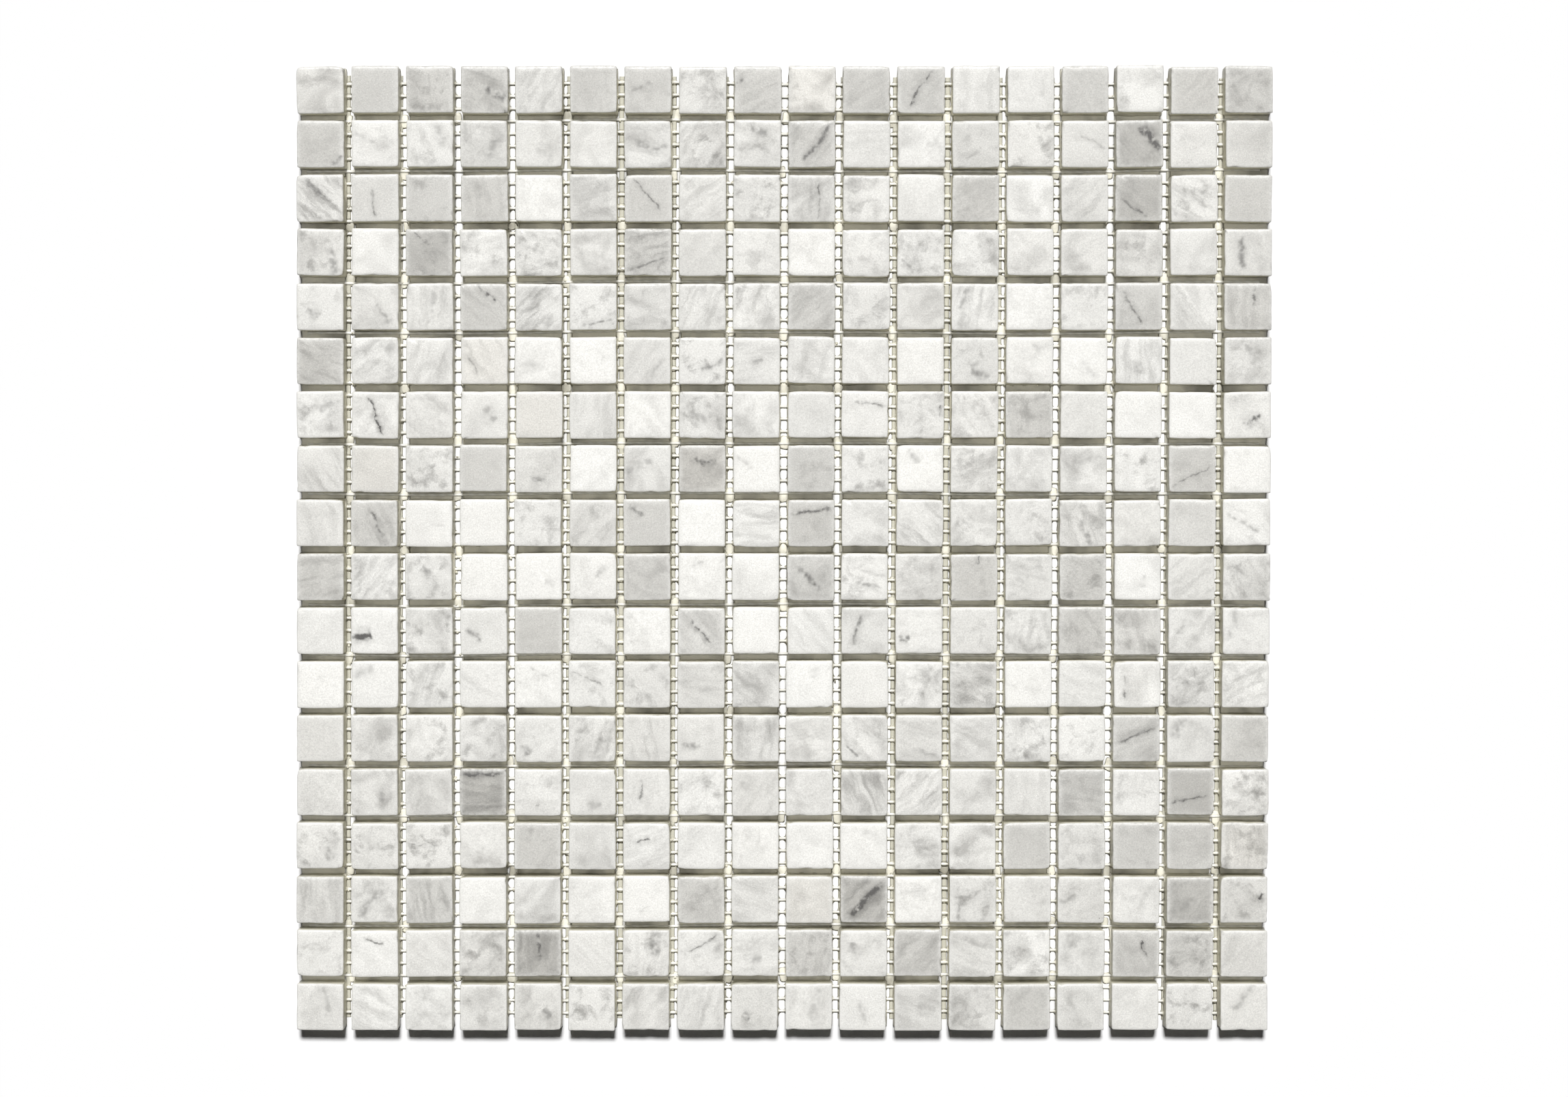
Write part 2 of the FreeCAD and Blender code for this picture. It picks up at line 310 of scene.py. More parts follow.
def yarns_tree():
    """Parallel yarns with an oval section, side by side along Y, each wandering a little."""
    tree = new_tree("laid_yarns", [
        ("Count", "Int", 10),
        ("Pitch", "Float", 4 * MM),
        ("Length", "Float", 300 * MM),
        ("Width", "Float", 1 * MM),
        ("Thickness", "Float", 0.3 * MM),
        ("Middle", "Vector", (0.0, 0.0, 0.0)),
        ("Turn", "Vector", (0.0, 0.0, 0.0)),
        ("Wander", "Float", 0.1 * MM),
        ("Steps", "Int", 60),
        ("Seed", "Float", 1.0),
        ("Material", "Material", None),
    ])
    given = add(tree, "NodeGroupInput").outputs
    left = add(tree, "ShaderNodeMath", {0: given["Length"], 1: -0.5}, operation="MULTIPLY")
    right = add(tree, "ShaderNodeMath", {0: given["Length"], 1: 0.5}, operation="MULTIPLY")
    start = add(tree, "ShaderNodeCombineXYZ", {"X": left})
    end = add(tree, "ShaderNodeCombineXYZ", {"X": right})
    line = add(tree, "GeometryNodeCurvePrimitiveLine", {"Start": start, "End": end})
    gaps = add(tree, "ShaderNodeMath", {0: given["Count"], 1: 1.0}, operation="SUBTRACT")
    span = add(tree, "ShaderNodeMath", {0: gaps, 1: given["Pitch"]}, operation="MULTIPLY")
    first_y = add(tree, "ShaderNodeMath", {0: span, 1: -0.5}, operation="MULTIPLY")
    first = add(tree, "ShaderNodeCombineXYZ", {"Y": first_y})
    step = add(tree, "ShaderNodeCombineXYZ", {"Y": given["Pitch"]})
    spots = add(tree, "GeometryNodeMeshLine", {
        "Count": given["Count"], "Start Location": first, "Offset": step,
    })
    laid = add(tree, "GeometryNodeInstanceOnPoints", {"Points": spots, "Instance": line})
    curves = add(tree, "GeometryNodeRealizeInstances", {"Geometry": laid})
    fine = add(tree, "GeometryNodeResampleCurve", {"Curve": curves, "Count": given["Steps"]})

    # Each yarn drifts sideways by noise
    place = add(tree, "GeometryNodeInputPosition")
    noise = add(tree, "ShaderNodeTexNoise", {
        "Vector": place, "W": given["Seed"], "Scale": per(14.0), "Detail": 2.0,
    }, noise_dimensions="4D")
    to_and_fro = add(tree, "ShaderNodeMapRange", {
        "Value": noise, "From Min": 0.25, "From Max": 0.75, "To Min": -1.0,
    })
    drift = add(tree, "ShaderNodeMath", {0: to_and_fro, 1: given["Wander"]}, operation="MULTIPLY")
    sideways = add(tree, "ShaderNodeCombineXYZ", {"Y": drift})
    bent = add(tree, "GeometryNodeSetPosition", {"Geometry": fine, "Offset": sideways})
    level = add(tree, "GeometryNodeSetCurveNormal", {"Curve": bent}, mode="Z_UP")

    # The oval section, swept along each yarn
    ring = add(tree, "GeometryNodeCurvePrimitiveCircle", {"Resolution": 8, "Radius": 0.5})
    section_size = add(tree, "ShaderNodeCombineXYZ", {
        "X": given["Width"], "Y": given["Thickness"], "Z": 1.0,
    })
    section = add(tree, "GeometryNodeTransform", {"Geometry": ring, "Scale": section_size})
    tube = add(tree, "GeometryNodeCurveToMesh", {
        "Curve": level, "Profile Curve": section, "Fill Caps": True,
    })
    placed = add(tree, "GeometryNodeTransform", {
        "Geometry": tube, "Translation": given["Middle"], "Rotation": given["Turn"],
    })
    smooth = add(tree, "GeometryNodeSetShadeSmooth", {"Geometry": placed})
    solid = add(tree, "GeometryNodeRealizeInstances", {"Geometry": smooth})
    painted = add(tree, "GeometryNodeSetMaterial", {
        "Geometry": solid, "Material": given["Material"],
    })
    add(tree, "NodeGroupOutput", {0: painted})
    return tree


def sway(piece):
    """Let the scrim's raised layer sway along Y as one cloth, in a slow and a quick wave.

    Together they reach up to half a millimetre.
    """
    places = np.empty(3 * len(piece.data.vertices), dtype=np.float32)
    piece.data.vertices.foreach_get("co", places)
    x_mm, y_mm = places[0::3] / MM, places[1::3] / MM
    slow = 0.32 * np.sin(x_mm / 33.0 + y_mm / 110.0 + 1.9)
    quick = 0.16 * np.sin(x_mm / 14.0 - y_mm / 70.0)
    places[1::3] += (slow + quick) * MM
    piece.data.vertices.foreach_set("co", places)
    piece.data.update()


# Blanks

def closed_blank(name, loops, foot, crown):
    """A closed blank: loops of (place, outward, wear, corner) from the foot up, and two poles."""
    form = bmesh.new()
    outward_layer = form.verts.layers.float_vector.new("outward")
    place_layer = form.verts.layers.float_vector.new("on_stone")
    wear_layer = form.verts.layers.float.new("wear")
    corner_layer = form.verts.layers.float_vector.new("corner")
    rings = []
    for loop in loops:
        ring = []
        for place, outward, wear, corner in loop:
            vertex = form.verts.new(place)
            vertex[outward_layer] = outward
            vertex[place_layer] = place
            vertex[wear_layer] = wear
            vertex[corner_layer] = corner
            ring.append(vertex)
        rings.append(ring)
    for pole, ring in ((foot, rings[0]), (crown, rings[-1])):
        tip = form.verts.new(pole)
        tip[place_layer] = pole
        for n, vertex in enumerate(ring):
            form.faces.new((vertex, ring[n - 1], tip))
    for below, above in zip(rings, rings[1:]):
        for n in range(len(below)):
            form.faces.new((below[n - 1], below[n], above[n], above[n - 1]))
    bmesh.ops.recalc_face_normals(form, faces=form.faces)
    mesh = bpy.data.meshes.new(name)
    form.to_mesh(mesh)
    form.free()
    blank = bpy.data.objects.new(name, mesh)
    show(blank)
    return blank


def rounded_outline(half_x, half_y, radius, corner_steps, side_shares):
    """Places round a rectangle with round corners, anticlockwise, each with its way outwards."""
    outline = []
    for quarter, (sign_x, sign_y) in enumerate(((1, 1), (-1, 1), (-1, -1), (1, -1))):
        centre = Vector((sign_x * (half_x - radius), sign_y * (half_y - radius)))
        next_centre = Vector((-sign_y * (half_x - radius), sign_x * (half_y - radius)))
        for step in range(corner_steps + 1):
            angle = (quarter + step / corner_steps) * math.pi / 2
            out = Vector((math.cos(angle), math.sin(angle)))
            outline.append((centre + radius * out, out))
        for share in side_shares:
            outline.append((centre.lerp(next_centre, share) + radius * out, out))
    return outline


def slab_blank(name, half_x, half_y, radius, rings, corner_steps, side_shares):
    """A rectangular blank from rings of (inset, height, wear, give), listed from its foot up.

    Inset and height are in mm; give is how much of the edge's wandering and loss a ring
    follows. A corner is lost inwards along its diagonal, so that its round doesn't fold over.
    """
    corner_reach = 3.0 * MM
    diagonal = 0.7
    smallest_radius = 0.15 * MM
    loops = []
    for inset_mm, height_mm, wear, give in rings:
        inset, height = inset_mm * MM, height_mm * MM
        loop = []
        outline = rounded_outline(
            half_x - inset, half_y - inset, max(radius + 0.8 * inset, smallest_radius),
            corner_steps, side_shares,
        )
        for place, out in outline:
            from_corner = math.hypot(half_x - abs(place.x), half_y - abs(place.y))
            amount = diagonal * give * max(0.0, 1.0 - from_corner / corner_reach) ** 1.4
            corner = (-math.copysign(amount, place.x), -math.copysign(amount, place.y), 0.0)
            loop.append(((*place, height), (out.x * give, out.y * give, 0.0), wear, corner))
        loops.append(loop)
    foot, crown = (0.0, 0.0, rings[0][1] * MM), (0.0, 0.0, rings[-1][1] * MM)
    return closed_blank(name, loops, foot, crown)


def tile_blank():
    """A tile with its foot on zero: sawn sides, and an edge that rolls off into the face."""
    top = TILE_THICKNESS / MM
    rings = [
        (0.06, 0.0, 0.0, 1.0),
        (0.0, top - 0.60, 0.7, 1.0),
        (0.06, top - 0.34, 1.0, 1.0),
        (0.18, top - 0.19, 1.0, 1.0),
        (0.42, top - 0.10, 0.8, 0.9),
        (0.98, top - 0.04, 0.35, 0.6),
        (2.20, top, 0.0, 0.0),
    ]
    side_shares = (0.05, 0.13, 0.26, 0.42, 0.58, 0.74, 0.87, 0.95)
    return slab_blank("tile_blank", HALF_SIDE, HALF_SIDE, 0.42 * MM, rings, 3, side_shares)


# Where the long sides of a slab of glue have their points, as shares of the side
LONG_SIDE_SHARES = (0.17, 0.33, 0.5, 0.67, 0.83)


def glue_bed_blank():
    """The film of glue under a tile, squeezed out a little all round the tile's foot."""
    rings = [(0.30, -0.38, 0.0, 1.0), (-0.16, -0.14, 0.0, 1.0), (0.15, 0.35, 0.0, 0.3)]
    return slab_blank("glue_bed_blank", HALF_SIDE, HALF_SIDE, 0.7 * MM, rings, 2, LONG_SIDE_SHARES)


def glue_film_blank():
    """The thin film of glue that closes the scrim's holes between a tile and the next row's."""
    rings = [(0.70, 0.13, 0.0, 1.0), (0.0, 0.30, 0.0, 1.0), (0.30, 0.36, 0.0, 0.6)]
    half_x, half_y = HALF_SIDE - 0.35 * MM, 1.6 * MM
    return slab_blank("glue_film_blank", half_x, half_y, 0.5 * MM, rings, 2, LONG_SIDE_SHARES)


def glue_patch_blank():
    """Glue that has run together where four tiles' corners meet."""
    rings = [(0.50, 0.10, 0.0, 1.0), (0.0, 0.18, 0.0, 1.0), (0.40, 0.30, 0.0, 0.9)]
    return slab_blank("glue_patch_blank", 1.5 * MM, 2.1 * MM, 0.7 * MM, rings, 3, (0.33, 0.67))


def level_loop(places, height):
    """A loop for a blank that doesn't chip: places at one height, facing away from the middle."""
    loop = []
    for x, y in places:
        out = Vector((x, y)).normalized()
        loop.append(((x, y, height), (out.x, out.y, 0.0), 0.0, (0.0, 0.0, 0.0)))
    return loop


def glue_web_blank():
    """Glue in the four angles where two yarns cross: a star with hollow sides."""
    quarter = [(1.35 * MM, 0.36 * MM), (1.00 * MM, 0.52 * MM), (0.80 * MM, 0.95 * MM)]
    foot, rim, crown = (0.0, 0.0, -0.2 * MM), -0.02 * MM, (0.0, 0.0, 0.30 * MM)
    right = quarter + [(-x, y) for x, y in reversed(quarter)]
    star = right + [(-x, -y) for x, y in right]
    return closed_blank("glue_web_blank", [level_loop(star, rim)], foot, crown)


def glue_side_blank():
    """Glue that runs from a raised yarn up a tile's side, which is the plane x = 0."""
    half_width, reach, spread = RAISED_YARN_WIDTH / 2, 0.95 * MM, 1.5 * MM
    foot, rim, crown = (0.1 * reach, 0.0, -0.45 * MM), -0.22 * MM, (-0.1 * MM, 0.0, 0.08 * MM)
    upper = [
        (-0.3 * MM, spread), (0.12 * reach, 0.8 * spread), (0.4 * reach, half_width + 0.3 * MM),
        (reach, 0.7 * half_width),
    ]
    outline = upper + [(x, -y) for x, y in reversed(upper)]
    return closed_blank("glue_side_blank", [level_loop(outline, rim)], foot, crown)


def glue_lump_blank():
    """A crumb of dried glue, six-sided and 1.6 mm across before each copy's own size."""
    loops = []
    for height, radius in ((-0.45, 0.75), (0.35, 0.8)):
        loop = []
        for n in range(6):
            angle = n / 6 * 2 * math.pi
            out = (math.cos(angle), math.sin(angle), 0.0)
            place = (radius * out[0] * MM, radius * out[1] * MM, height * MM)
            loop.append((place, out, 0.0, (0.0, 0.0, 0.0)))
        loops.append(loop)
    return closed_blank("glue_lump_blank", loops, (0.0, 0.0, -0.8 * MM), (0.0, 0.0, 0.8 * MM))


# Start meshes

def points_mesh(name, places, vectors, values):
    """A mesh of loose points with the given vector and number attributes."""
    mesh = bpy.data.meshes.new(name)
    mesh.vertices.add(len(places))
    mesh.vertices.foreach_set("co", np.array(places, dtype=np.float32).ravel())
    for label, rows in vectors.items():
        layer = mesh.attributes.new(label, "FLOAT_VECTOR", "POINT")
        layer.data.foreach_set("vector", np.array(rows, dtype=np.float32).ravel())
    for label, rows in values.items():
        layer = mesh.attributes.new(label, "FLOAT", "POINT")
        layer.data.foreach_set("value", np.array(rows, dtype=np.float32))
    return mesh


def stone_points(row, rng):
    """The start mesh of one row: a point for each tile, with what makes that stone its own."""
    # Spreads are standard deviations; a vein's leans are in degrees
    slip_spread, tilt_spread, turn_spread = 0.10 * MM, 0.0022, math.radians(0.4)
    mean_size, size_spread = 1.008, 0.004
    vein_leans, lean_spread = (-50.0, -35.0, 35.0, 55.0, 90.0, 0.0), 14.0
    places = []
    vectors = {"turn": [], "size": [], "own_shift": [], "vein": [], "vein_form": []}
    values = {label: [] for label in STONE_NUMBERS}
    for column in range(TILES_PER_ROW):
        spot = (row + 1, column + 1)
        slip = rng.normal(0.0, slip_spread, 2)
        y = ROWS[row] + slip[1]
        places.append((COLUMNS[column] + slip[0] + RACK * y, y, TILE_FOOT))
        tilt = rng.normal(0.0, tilt_spread, 2)
        vectors["turn"].append((tilt[0], tilt[1], rng.normal(0.0, turn_spread)))
        vectors["size"].append((*(mean_size + rng.normal(0.0, size_spread, 2)), 1.0))
        vectors["own_shift"].append(rng.uniform(0.0, 3.0, 3))

        # Drawn for every stone, so that a change to one leaves the others as they are. A tone
        # of 0 is grey and 1 is white; a vein's places are in mm from the middle of the face
        tone = 0.38 + 0.54 * rng.beta(3.2, 2.2)
        clouds = rng.uniform(0.2, 1.0) ** 1.6
        bands = rng.uniform(0.0, 0.9) ** 2
        smudges = rng.uniform(0.0, 1.0) ** 1.7
        middle = Vector(rng.uniform(-4.5, 4.5, 2))
        lean = math.radians(rng.choice(vein_leans) + rng.normal(0.0, lean_spread))
        half_length, half_width = rng.uniform(2.0, 7.0), rng.uniform(0.6, 2.4)
        depth = max(0.0, rng.uniform(-0.30, 0.30))
        warmth = rng.uniform(0.0, 0.25)
        rough = rng.uniform(0.0, 0.3)
        if spot in GREY_STONES:
            tone = 0.08 + 0.24 * tone
        if spot in DARK_STONES:
            tone, clouds = 0.0, 0.6 + 0.4 * clouds
        if spot in WHITE_STONES:
            tone = 0.84 + 0.14 * tone
            clouds, smudges, bands, depth = 0.5 * clouds, 0.3 * smudges, 0.0, 0.6 * depth
        if spot in MOTTLED_STONES:
            clouds, smudges = 0.8, 0.8 + 0.4 * smudges
        if spot in BANDED_STONES:
            bands = 1.3 if spot in DARK_STONES else 0.75 + bands
        if spot in WARM_STONES:
            warmth = 1.0
        if spot in ROUGH_STONES:
            rough = 1.0
        if spot in VEINS:
            x1, y1, x2, y2, half_width, depth = VEINS[spot]
            middle = Vector(((x1 + x2) / 2, (y1 + y2) / 2))
            lean = math.atan2(y2 - y1, x2 - x1)
            half_length = math.hypot(x2 - x1, y2 - y1) / 2 + half_width
        vectors["vein"].append((middle.x, middle.y, lean))
        vectors["vein_form"].append((half_length, half_width, depth))
        own = (tone, clouds, bands, smudges, warmth, rough)
        for label, value in zip(STONE_NUMBERS, own):
            values[label].append(value)
    return points_mesh(f"row_{row + 1:02d}_points", places, vectors, values)


def glue_points(name, places, turns, size_range, rng):
    """Points that carry a turn about Z, a random size and a random place in the noise.

    Only crumbs, which are all smaller than their blank, vary in height as well.
    """
    sizes = rng.uniform(*size_range, (len(places), 3))
    crumbs = size_range[1] < 1.0
    if not crumbs:
        sizes[:, 2] = 1.0
    vectors = {
        "turn": [(0.0, 0.0, turn) for turn in turns],
        "size": sizes,
        "own_shift": rng.uniform(0.0, 3.0, (len(places), 3)),
    }
    return points_mesh(name, [(x + RACK * y, y, z) for x, y, z in places], vectors, {})


# Materials

def new_material(name):
    """A material, its tree, its Principled shader and the object's own coordinates."""
    material = bpy.data.materials.new(name)
    material.use_nodes = True
    tree = material.node_tree
    tree.nodes.clear()
    shader = add(tree, "ShaderNodeBsdfPrincipled")
    add(tree, "ShaderNodeOutputMaterial", {"Surface": shader})
    here = add(tree, "ShaderNodeTexCoord").outputs["Object"]
    return material, tree, shader, here


def on_vein(tree, read, stone):
    """The place in mm from the vein's middle: X along the vein, Y across it, bent by noise."""
    bend_mm = 4.2
    place = add(tree, "ShaderNodeVectorMath", {
        0: read["on_stone"], "Scale": 1.0 / MM,
    }, operation="SCALE")
    bend = add(tree, "ShaderNodeTexNoise", {
        "Vector": stone, "Scale": per(5.5), "Detail": 5.0, "Roughness": 0.7,
    })
    both_ways = add(tree, "ShaderNodeVectorMath", {
        0: bend.outputs["Color"], 1: (-0.5, -0.5, -0.5),
    }, operation="ADD")
    bent = add(tree, "ShaderNodeVectorMath", {
        0: both_ways, 1: (bend_mm, bend_mm, 0.0), 2: place,
    }, operation="MULTIPLY_ADD")
    vein = add(tree, "ShaderNodeSeparateXYZ", {"Vector": read["vein"]})
    middle = add(tree, "ShaderNodeCombineXYZ", {"X": vein.outputs["X"], "Y": vein.outputs["Y"]})
    from_middle = add(tree, "ShaderNodeVectorMath", {0: bent, 1: middle}, operation="SUBTRACT")
    back = add(tree, "ShaderNodeMath", {0: vein.outputs["Z"], 1: -1.0}, operation="MULTIPLY")
    return add(tree, "ShaderNodeVectorRotate", {
        "Vector": from_middle, "Axis": (0.0, 0.0, 1.0), "Angle": back,
    }, rotation_type="AXIS_ANGLE")


def clouded(tree, read, stone, along):
    """The stone's own tone between grey and white, with clouds, smudges and bands in it.

    Bands run along the vein's direction, about 3 mm apart and 17 mm long.
    """
    shade = add(tree, "ShaderNodeMix", {
        "Factor": read["tone"], UNDER: colour("#BEBCB6"), OVER: colour("#FCFBF6"),
    }, data_type="RGBA")
    drawn_out = add(tree, "ShaderNodeVectorMath", {
        0: along, 1: (0.06, 0.36, 0.0), 2: read["own_shift"],
    }, operation="MULTIPLY_ADD")

    # The noise: where it is read, its scale, detail, roughness and distortion. Then the noise
    # at which the colour starts and is full, the most there is of it, and the colour
    for label, place, scale, detail, roughness, distortion, starts, full, most, code in (
        ("clouds", stone, per(10.0), 4.0, 0.55, 0.6, 0.42, 0.72, 0.85, "#A4A29D"),
        ("smudges", stone, per(5.0), 6.0, 0.62, 0.3, 0.51, 0.73, 0.95, "#82807B"),
        ("bands", drawn_out, 1.0, 4.0, 0.6, 0.3, 0.44, 0.74, 0.7, "#82807B"),
    ):
        noise = add(tree, "ShaderNodeTexNoise", {
            "Vector": place, "Scale": scale, "Detail": detail, "Roughness": roughness,
            "Distortion": distortion,
        })
        amount = add(tree, "ShaderNodeMapRange", {
            "Value": noise, "From Min": starts, "From Max": full, "To Max": most,
        })
        own_amount = add(tree, "ShaderNodeMath", {0: amount, 1: read[label]}, operation="MULTIPLY")
        shade = add(tree, "ShaderNodeMix", {
            "Factor": own_amount, UNDER: shade, OVER: colour(code),
        }, data_type="RGBA")
    return shade


def veined(tree, read, stone, along, shade):
    """The vein: a patchy dark core in a paler halo, both fading towards its ends."""
    vein_strength = 1.9
    form = add(tree, "ShaderNodeSeparateXYZ", {"Vector": read["vein_form"]})
    half_length, half_width, depth = (form.outputs[axis] for axis in "XYZ")
    spot = add(tree, "ShaderNodeSeparateXYZ", {"Vector": along})
    far_along = add(tree, "ShaderNodeMath", {0: spot.outputs["X"]}, operation="ABSOLUTE")
    far_across = add(tree, "ShaderNodeMath", {0: spot.outputs["Y"]}, operation="ABSOLUTE")
    fade_start = add(tree, "ShaderNodeMath", {0: half_length, 1: 0.6}, operation="MULTIPLY")
    fade = add(tree, "ShaderNodeMapRange", {
        "Value": far_along, "From Min": fade_start, "From Max": half_length,
        "To Min": 1.0, "To Max": 0.0,
    }, interpolation_type="SMOOTHSTEP")
    patches = add(tree, "ShaderNodeTexNoise", {
        "Vector": stone, "Scale": per(2.0), "Detail": 4.0, "Roughness": 0.6,
    })
    patchy = add(tree, "ShaderNodeMapRange", {
        "Value": patches, "From Min": 0.35, "From Max": 0.58,
    })
    faded = add(tree, "ShaderNodeMath", {0: fade, 1: depth}, operation="MULTIPLY")
    strong = add(tree, "ShaderNodeMath", {0: faded, 1: vein_strength}, operation="MULTIPLY")
    strength = add(tree, "ShaderNodeMath", {0: strong, 1: patchy}, operation="MULTIPLY")
    halo_width = add(tree, "ShaderNodeMath", {
        0: half_width, 1: 1.6, 2: 1.2,
    }, operation="MULTIPLY_ADD")
    for width, most, code in ((halo_width, 0.45, "#7F7D78"), (half_width, 1.0, "#4A4845")):
        across = add(tree, "ShaderNodeMapRange", {
            "Value": far_across, "From Max": width, "To Min": most, "To Max": 0.0,
        }, interpolation_type="SMOOTHSTEP")
        amount = add(tree, "ShaderNodeMath", {0: across, 1: strength}, operation="MULTIPLY")
        shade = add(tree, "ShaderNodeMix", {
            "Factor": amount, UNDER: shade, OVER: colour(code),
        }, data_type="RGBA")
    return shade


def grained(tree, stone, crystals, crystal, shade):
    """Sugary crystals, some lighter and some darker, a few with a painted glint, and rare black
    specks.
    """
    sugar = add(tree, "ShaderNodeTexNoise", {
        "Vector": stone, "Scale": per(0.5), "Detail": 2.0, "Roughness": 0.9,
    })
    sugar_shade = add(tree, "ShaderNodeMapRange", {
        "Value": sugar, "From Min": 0.25, "From Max": 0.75, "To Min": 0.79, "To Max": 1.20,
    })
    # Painted highlight: a few crystals are painted brighter, as if they catch the light
    painted_glints = add(tree, "ShaderNodeMath", {
        0: crystal.outputs["Blue"], 1: 0.93,
    }, operation="GREATER_THAN")
    round_painted_glint = add(tree, "ShaderNodeMapRange", {
        "Value": crystals.outputs["Distance"], "From Min": 0.15, "From Max": 0.35,
        "To Min": 0.24, "To Max": 0.0,
    })
    grain_and_painted_glint = add(tree, "ShaderNodeMath", {
        0: painted_glints, 1: round_painted_glint, 2: sugar_shade,
    }, operation="MULTIPLY_ADD")
    sugary_with_painted_glints = add(tree, "ShaderNodeVectorMath", {0: shade, "Scale": grain_and_painted_glint}, operation="SCALE")
    specks = add(tree, "ShaderNodeTexVoronoi", {"Vector": stone, "Scale": per(7.0)})
    pick = add(tree, "ShaderNodeSeparateColor", {"Color": specks.outputs["Color"]})
    rare = add(tree, "ShaderNodeMath", {0: pick.outputs["Red"], 1: 0.88}, operation="GREATER_THAN")
    round_speck = add(tree, "ShaderNodeMapRange", {
        "Value": specks.outputs["Distance"], "From Min": 0.018, "From Max": 0.030,
        "To Min": 0.8, "To Max": 0.0,
    })
    speck = add(tree, "ShaderNodeMath", {0: rare, 1: round_speck}, operation="MULTIPLY")
    return add(tree, "ShaderNodeMix", {
        "Factor": speck, UNDER: sugary_with_painted_glints, OVER: colour("#3C3B38"),
    }, data_type="RGBA")


def worn_edges_and_painted_light(tree, read, stone, shade):
    """Edges whitened within a millimetre or two, and paler sawn sides.

    The white edges are partly bruising and partly painted light on the rolled edges; the paler
    sides are partly their own sawn tone and partly painted light for the sides the key lights.
    """
    size = add(tree, "ShaderNodeVectorMath", {0: read["on_stone"]}, operation="ABSOLUTE")
    part = add(tree, "ShaderNodeSeparateXYZ", {"Vector": size})
    widest = add(tree, "ShaderNodeMath", {
        0: part.outputs["X"], 1: part.outputs["Y"],
    }, operation="MAXIMUM")
    inset = add(tree, "ShaderNodeMath", {0: HALF_SIDE, 1: widest}, operation="SUBTRACT")
    below = add(tree, "ShaderNodeMath", {
        0: TILE_THICKNESS, 1: part.outputs["Z"],
    }, operation="SUBTRACT")
    both = add(tree, "ShaderNodeCombineXYZ", {"X": inset, "Y": below})
    distance = add(tree, "ShaderNodeVectorMath", {0: both}, operation="LENGTH")
    near = add(tree, "ShaderNodeMapRange", {
        "Value": distance, "From Min": 0.15 * MM, "From Max": 3.0 * MM,
        "To Min": 1.0, "To Max": 0.0,
    })
    edge = add(tree, "ShaderNodeMath", {0: near, 1: 3.5}, operation="POWER")
    patches = add(tree, "ShaderNodeTexNoise", {
        "Vector": stone, "Scale": per(1.1), "Detail": 4.0, "Roughness": 0.6,
    })
    patchy = add(tree, "ShaderNodeMapRange", {
        "Value": patches, "From Min": 0.30, "From Max": 0.62, "To Min": 0.30, "To Max": 0.95,
    })
    # Partly painted light: the edges are whitened near the face, partly bruising and partly a
    # painted bright rim
    bruise_and_painted_light = add(tree, "ShaderNodeMath", {0: edge, 1: patchy}, operation="MULTIPLY")
    bruised_and_painted_light = add(tree, "ShaderNodeMix", {
        "Factor": bruise_and_painted_light, UNDER: shade, OVER: colour("#F4F3EE"),
    }, data_type="RGBA")
    # Partly painted light: the sides are painted paler, for their own sawn tone and also for the
    # glow of the sides the key lights
    facing = add(tree, "ShaderNodeSeparateXYZ", {
        "Vector": add(tree, "ShaderNodeNewGeometry").outputs["True Normal"],
    })
    side = add(tree, "ShaderNodeMapRange", {
        "Value": facing.outputs["Z"], "From Min": 0.15, "From Max": 0.6,
        "To Min": 0.9, "To Max": 0.0,
    })
    return add(tree, "ShaderNodeMix", {
        "Factor": side, UNDER: bruised_and_painted_light, OVER: colour("#FAF7E7"),
    }, data_type="RGBA")


def marble():
    """Fine-grained white marble, honed on its face, with sawn sides and tumbled edges.

    It reads as sugar-like crystals, a few with a painted glint, in soft grey clouds and bands,
    with a few darker veins. Worn edges are whitened, partly by bruising and partly as painted
    light, and rolled edges catch the light. Sawn sides are painted paler, partly their own tone
    and partly painted light.
    """
    material, tree, shader, here = new_material("white_marble_honed")
    read = {}
    for label in ("own_shift", "on_stone", "vein", "vein_form", *STONE_NUMBERS):
        output = "Fac" if label in STONE_NUMBERS else "Vector"
        read[label] = add(tree, "ShaderNodeAttribute", attribute_name=label).outputs[output]
    stone = add(tree, "ShaderNodeVectorMath", {0: here, 1: read["own_shift"]}, operation="ADD")

    # The real crystals are finer: they are drawn at 0.5 mm, so that they show
    crystals = add(tree, "ShaderNodeTexVoronoi", {"Vector": stone, "Scale": per(0.5)})
    crystal = add(tree, "ShaderNodeSeparateColor", {"Color": crystals.outputs["Color"]})

    along = on_vein(tree, read, stone)
    shade = clouded(tree, read, stone, along)
    shade = veined(tree, read, stone, along, shade)
    warmth = add(tree, "ShaderNodeMath", {0: read["warmth"], 1: 0.18}, operation="MULTIPLY")
    shade = add(tree, "ShaderNodeMix", {
        "Factor": warmth, UNDER: shade, OVER: colour("#F4EADB"),
    }, data_type="RGBA", blend_type="MULTIPLY")
    shade = grained(tree, stone, crystals, crystal, shade)
    shade = worn_edges_and_painted_light(tree, read, stone, shade)

    roughness = add(tree, "ShaderNodeMapRange", {
        "Value": crystal.outputs["Green"], "To Min": 0.34, "To Max": 0.48,
    })
    pits = add(tree, "ShaderNodeTexNoise", {
        "Vector": stone, "Scale": per(0.8), "Detail": 4.0, "Roughness": 0.7,
    })
    relief = add(tree, "ShaderNodeMapRange", {
        "Value": read["rough"], "To Min": 0.12, "To Max": 1.0,
    })
    height = add(tree, "ShaderNodeMath", {0: pits, 1: relief}, operation="MULTIPLY")
    bump = add(tree, "ShaderNodeBump", {"Height": height, "Strength": 0.5, "Distance": 0.25 * MM})
    feed(shader, {"Base Color": shade, "Roughness": roughness, "IOR": 1.5, "Normal": bump})
    return material


